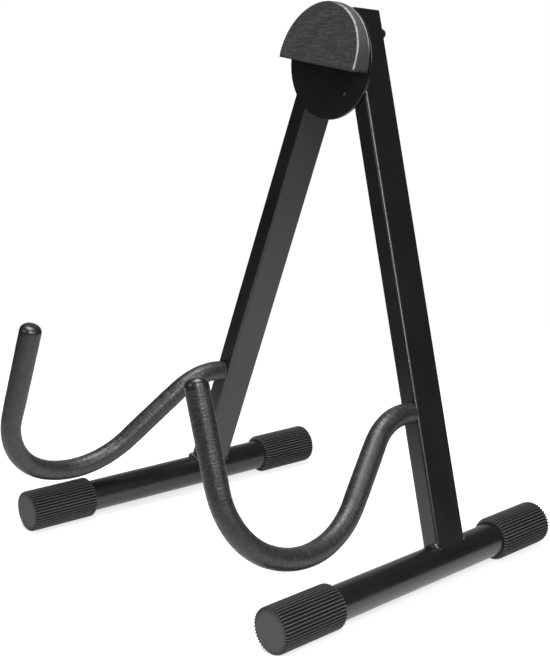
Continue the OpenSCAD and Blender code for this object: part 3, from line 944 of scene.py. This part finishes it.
def make_pad():
    """The glued half-moon pad: a wedge of fibrous foam with a crisp cut edge."""
    slope = math.tan(math.radians(PAD_SLOPE))
    lip = 0.9
    rings, wear_and_painted_light = [], []

    def front(z):
        return -(PAD_T - z * slope)

    def add(inset, depth, scale=1.0, edge=0.0, high=0.0):
        """depth runs from the pad's face, at 0, back to the plate, at 1.

        edge and high are how pale the ring is, and how pale it is high up. Both count on the
        pad's right half only, where the photograph shows two light lines."""
        ring, worn_and_painted_light = [], []
        for x, z in pad_outline(inset):
            x, z = x * scale, (z - PAD_MIDDLE) * scale + PAD_MIDDLE
            face = front(z)
            y = face * (1 - depth)
            nap = rough(x / 1.6, y / 1.6, z / 2.4, 3)
            dent = rough(x / 9, y / 9 + 5, z / 9, 2)
            y += (0.10 * nap + 0.16 * dent) * (1 - depth) if depth < 0.12 else 0.0
            side = 0.10 * nap + 0.10 * dent if 0.02 < depth < 0.99 else 0.0
            away = Vector((x, 0, z - PAD_MIDDLE)).normalized() * side
            ring.append((x + away.x, y, z + away.z))
            # Painted highlights: the two pale lines are painted on the right half only, along the front
            # edge and along the rear rim high up.
            right = smooth((x / PAD_R + 0.1) * 1.6)
            light = max(edge, high * smooth((z - 4) / 16))
            worn_and_painted_light.append(light * right * clamp(0.8 + 0.4 * nap) if z > -PAD_EDGE_DROP + 1.8 else 0.0)
        rings.append(ring)
        wear_and_painted_light.append(worn_and_painted_light)

    add(0.0, 1.0, 1.0, 0.05, 0.85)
    add(0.02, 0.95, 1.0, 0.05, 0.75)
    add(0.06, 0.90, 1.0, 0.05)
    for k in range(1, 9):
        depth = 0.9 - 0.82 * k / 8
        add(0.35 * math.sin(math.pi * (k + 1) / 10), depth, 1.0, 0.05)
    for k in range(1, 7):
        a = math.radians(90 * k / 6)
        add(lip * (1 - math.cos(a)), 0.08 * (1 - math.sin(a)), 1.0, max(0.05, math.sin(a) ** 1.5))
    for inset in (1.2, 1.5, 1.9, 2.4):
        add(inset, 0.0, 1.0, 0.8 if inset < 1.4 else 0.0)
    for k in range(1, 40):
        add(2.4, 0.0, 1 - k / 40)
    matrix = HEAD @ moved(0, -PLATE_FRONT, PAD_RISE - PLATE_DROP) @ turned("Y", PAD_TURN)
    pad = lofted("half_moon_pad", rings, matrix, start=(0, 0, PAD_MIDDLE),
                 end=(0, front(PAD_MIDDLE), PAD_MIDDLE), wear_and_painted_light=wear_and_painted_light, sharp=75)
    finish_piece(pad, "head", PAD, "foam", "head_pad")


def at_bolt(side):
    return placed(side, HEAD @ moved(PIVOT.x / MM, 0, 0))


def make_bolt(side):
    """A countersunk bolt with a hexagon socket and a chamfered end."""
    face, end = -PLATE_FRONT, NUT_SEAT + NUT_HEIGHT - NUT_COVER
    head, socket_flats, socket_r = BOLT_HEAD_R - 0.05, 3.0, 1.72
    rings = [circle(socket_r, face + depth, 48, socket_flats) for depth in (1.6, 0.15)]
    rings += [circle(1.9, face + 0.03, 48), circle(head - 0.25, face + 0.02, 48)]
    rings += [circle(head, face + 0.2, 48), circle(BOLT_R, face + head - BOLT_R + 0.15, 48)]
    rings += [circle(BOLT_R, y, 48) for y in (-10, 0, 10, end - 0.6)]
    rings.append(circle(BOLT_R - 0.5, end, 48))
    bolt = lofted(f"{side}_countersunk_bolt", rings, at_bolt(side), start=(0, face + 1.9, 0),
                  end=(0, end, 0))
    finish_piece(bolt, "head", ZINC, "zinc", f"{side}_pivot_bolt")


def make_nut(side):
    """A dome nut: a chamfered hexagon under a rounded cover, blind inside."""
    seat, flats = NUT_SEAT, NUT_FLATS
    corner = flats / 2 / math.cos(math.radians(30))
    top, hex_top = seat + NUT_HEIGHT, seat + NUT_HEIGHT * 0.55
    dome_r, dome_foot = flats / 2 - 0.1, hex_top - 0.1
    rings = [circle(BOLT_R, top - NUT_COVER, 72), circle(BOLT_R, seat + 0.4, 72)]
    rings += [circle(BOLT_R + 0.4, seat, 72), circle(flats / 2 - 0.1, seat, 72)]
    rings += [circle(corner - 0.15, seat + 0.35, 72, flats), circle(corner, seat + 0.6, 72, flats)]
    rings += [circle(corner, hex_top - 0.7, 72, flats), circle(flats / 2 + 0.1, dome_foot, 72, flats)]
    for k in range(12):
        a = math.radians(7 + 83 * k / 12)
        rings.append(circle(dome_r * math.cos(a), dome_foot + (top - dome_foot) * math.sin(a), 72))
    nut = lofted(f"{side}_dome_nut", rings, at_bolt(side), start=(0, top - NUT_COVER + 0.4, 0),
                 end=(0, top, 0))
    finish_piece(nut, "head", OXIDE, "black_hardware", f"{side}_pivot_nut")


def make_washer(name, side, outer, bore, low, high, material, slot, node):
    """A flat washer with slightly rounded edges."""
    soft = min(0.15, (high - low) / 4)
    profile = [(bore, low + soft), (bore + soft, low), (outer - soft, low), (outer, low + soft)]
    profile += [(outer, high - soft), (outer - soft, high), (bore + soft, high), (bore, high - soft)]
    washer = spun(name, profile, at_bolt(side), 96, closed=True)
    finish_piece(washer, "head", material, slot, node)


def make_stop_pin():
    """The shouldered rivet between the legs, with a rounded rear edge."""
    back, front = -PLATE_BACK, -PLATE_FRONT
    profile = [(STOP_R / 2 - 0.2, front + 0.02), (STOP_R / 2, front + 0.2), (STOP_R / 2, back)]
    profile += [(STOP_R - 0.2, back + 0.02), (STOP_R, back + 0.25)]
    profile += [(STOP_R, back + STOP_LENGTH * k / 6) for k in range(1, 6)]
    profile += arc_profile(STOP_R - 0.7, back + STOP_LENGTH - 0.7, 0.7, 0, 90, 5)
    pin = spun("stop_rivet", profile, HEAD @ moved(0, 0, STOP_UP), 64)
    finish_piece(pin, "head", ZINC, "zinc", "stop_pin")


# ---- Stage -----------------------------------------------------------------------------------


def make_floor():
    """A plain pale floor that glows a little and fades into the white surround."""
    mesh = bpy.data.meshes.new("floor")
    angles = [TAU * k / FLOOR_SIDES for k in range(FLOOR_SIDES)]
    rim = [(FLOOR_RADIUS * math.cos(a), FLOOR_RADIUS * math.sin(a), 0) for a in angles]
    mesh.from_pydata(rim, [], [tuple(range(FLOOR_SIDES))])
    floor = bpy.data.objects.new("floor", mesh)
    bpy.context.scene.collection.objects.link(floor)
    s = Shader("pale_floor", Roughness=0.7, Specular_IOR_Level=0.1, Emission_Strength=FLOOR_GLOW)
    s.surface.inputs["Emission Color"].default_value = (1, 1, 1, 1)
    s.colour(s.mixed(s.noise(220, 3.0, 0.5), *map(grey, FLOOR_GREYS)))
    away = s.nodes.new("ShaderNodeVectorMath")
    away.operation = "LENGTH"
    off_centre = s.nodes.new("ShaderNodeVectorMath")
    off_centre.inputs[1].default_value = FADE_SHIFT
    s.links.new(s.place, off_centre.inputs[0])
    s.links.new(off_centre.outputs["Vector"], away.inputs[0])
    fade = s.ramp(away.outputs["Value"], FADE_START, FADE_STOP)
    clear = s.nodes.new("ShaderNodeBsdfTransparent")
    blend = s.nodes.new("ShaderNodeMixShader")
    s.links.new(fade, blend.inputs["Fac"])
    s.links.new(s.surface.outputs["BSDF"], blend.inputs[1])
    s.links.new(clear.outputs["BSDF"], blend.inputs[2])
    s.links.new(blend.outputs["Shader"], s.nodes["Material Output"].inputs["Surface"])
    mesh.materials.append(s.material)


def make_light(name, azimuth, elevation, distance, width, height, watts):
    """A soft rectangular light in a direction from the stand, as the camera's is given."""
    a, e = math.radians(azimuth), math.radians(elevation)
    towards = Vector((math.sin(a) * math.cos(e), -math.cos(a) * math.cos(e), math.sin(e)))
    data = bpy.data.lights.new(name, "AREA")
    data.shape, data.size, data.size_y, data.energy = "RECTANGLE", width, height, watts
    light = bpy.data.objects.new(name, data)
    light.location = Vector(LIGHT_AIM) + towards * distance
    light.rotation_mode = "QUATERNION"
    light.rotation_quaternion = (-towards).to_track_quat("-Z", "Y")
    bpy.context.scene.collection.objects.link(light)


def make_world():
    """What the stand reflects: a dim room and a paler backdrop. Seen directly, it is white."""
    world = bpy.data.worlds.new("studio")
    bpy.context.scene.world = world
    world.use_nodes = True
    nodes, links = world.node_tree.nodes, world.node_tree.links
    background = nodes["Background"]
    place = nodes.new("ShaderNodeTexCoord")
    towards = nodes.new("ShaderNodeVectorMath")
    towards.operation = "DOT_PRODUCT"
    towards.inputs[1].default_value = Vector(BACKDROP_WAY).normalized()
    links.new(place.outputs["Generated"], towards.inputs[0])
    spread = nodes.new("ShaderNodeMapRange")
    spread.interpolation_type = "SMOOTHSTEP"
    levels = (*BACKDROP_EDGES, ROOM_GLOW, BACKDROP_GLOW)
    for socket, number in zip(RANGE_SOCKETS, levels):
        spread.inputs[socket].default_value = number
    links.new(towards.outputs["Value"], spread.inputs["Value"])
    rays = nodes.new("ShaderNodeLightPath")
    seen = nodes.new("ShaderNodeMix")
    seen.inputs["B"].default_value = 1.0
    links.new(rays.outputs["Is Camera Ray"], seen.inputs["Factor"])
    links.new(spread.outputs["Result"], seen.inputs["A"])
    links.new(seen.outputs["Result"], background.inputs["Strength"])
    background.inputs["Color"].default_value = (1, 1, 1, 1)


def make_stage():
    make_floor()
    make_world()
    for name, values in LIGHTS.items():
        make_light(name, *values)
    view = bpy.context.scene.view_settings
    view.view_transform, view.look = "Standard", "None"


# ---- The whole stand -------------------------------------------------------------------------

make_camera()
make_stage()
make_plate()
make_pad()
make_stop_pin()
for side in ("right", "left"):
    make_bolt(side)
    make_nut(side)
    make_washer(f"{side}_nylon_washer", side, WASHER_R, WASHER_BORE_R, -PLATE_BACK + GAP,
                -LEG_D / 2 - GAP, NYLON, "nylon", f"{side}_friction_washer")
    make_washer(f"{side}_steel_washer", side, NUT_WASHER_R, WASHER_BORE_R, LEG_D / 2 + GAP,
                NUT_SEAT - GAP, ZINC, "zinc", f"{side}_nut_washer")
    make_leg(side)
    make_foot_weld(side)
    make_leg_plug(side)
    make_base_tube(side)
    make_cap(side, "front")
    make_cap(side, "rear")
    make_sleeve(side)
    make_tip(side)
    for node, material in ((f"{side}_arm_rod", STEEL), (f"{side}_pivot_bush", ZINC)):
        mesh = frame["nodes"][node].data
        mesh.materials.clear()
        mesh.materials.append(material)
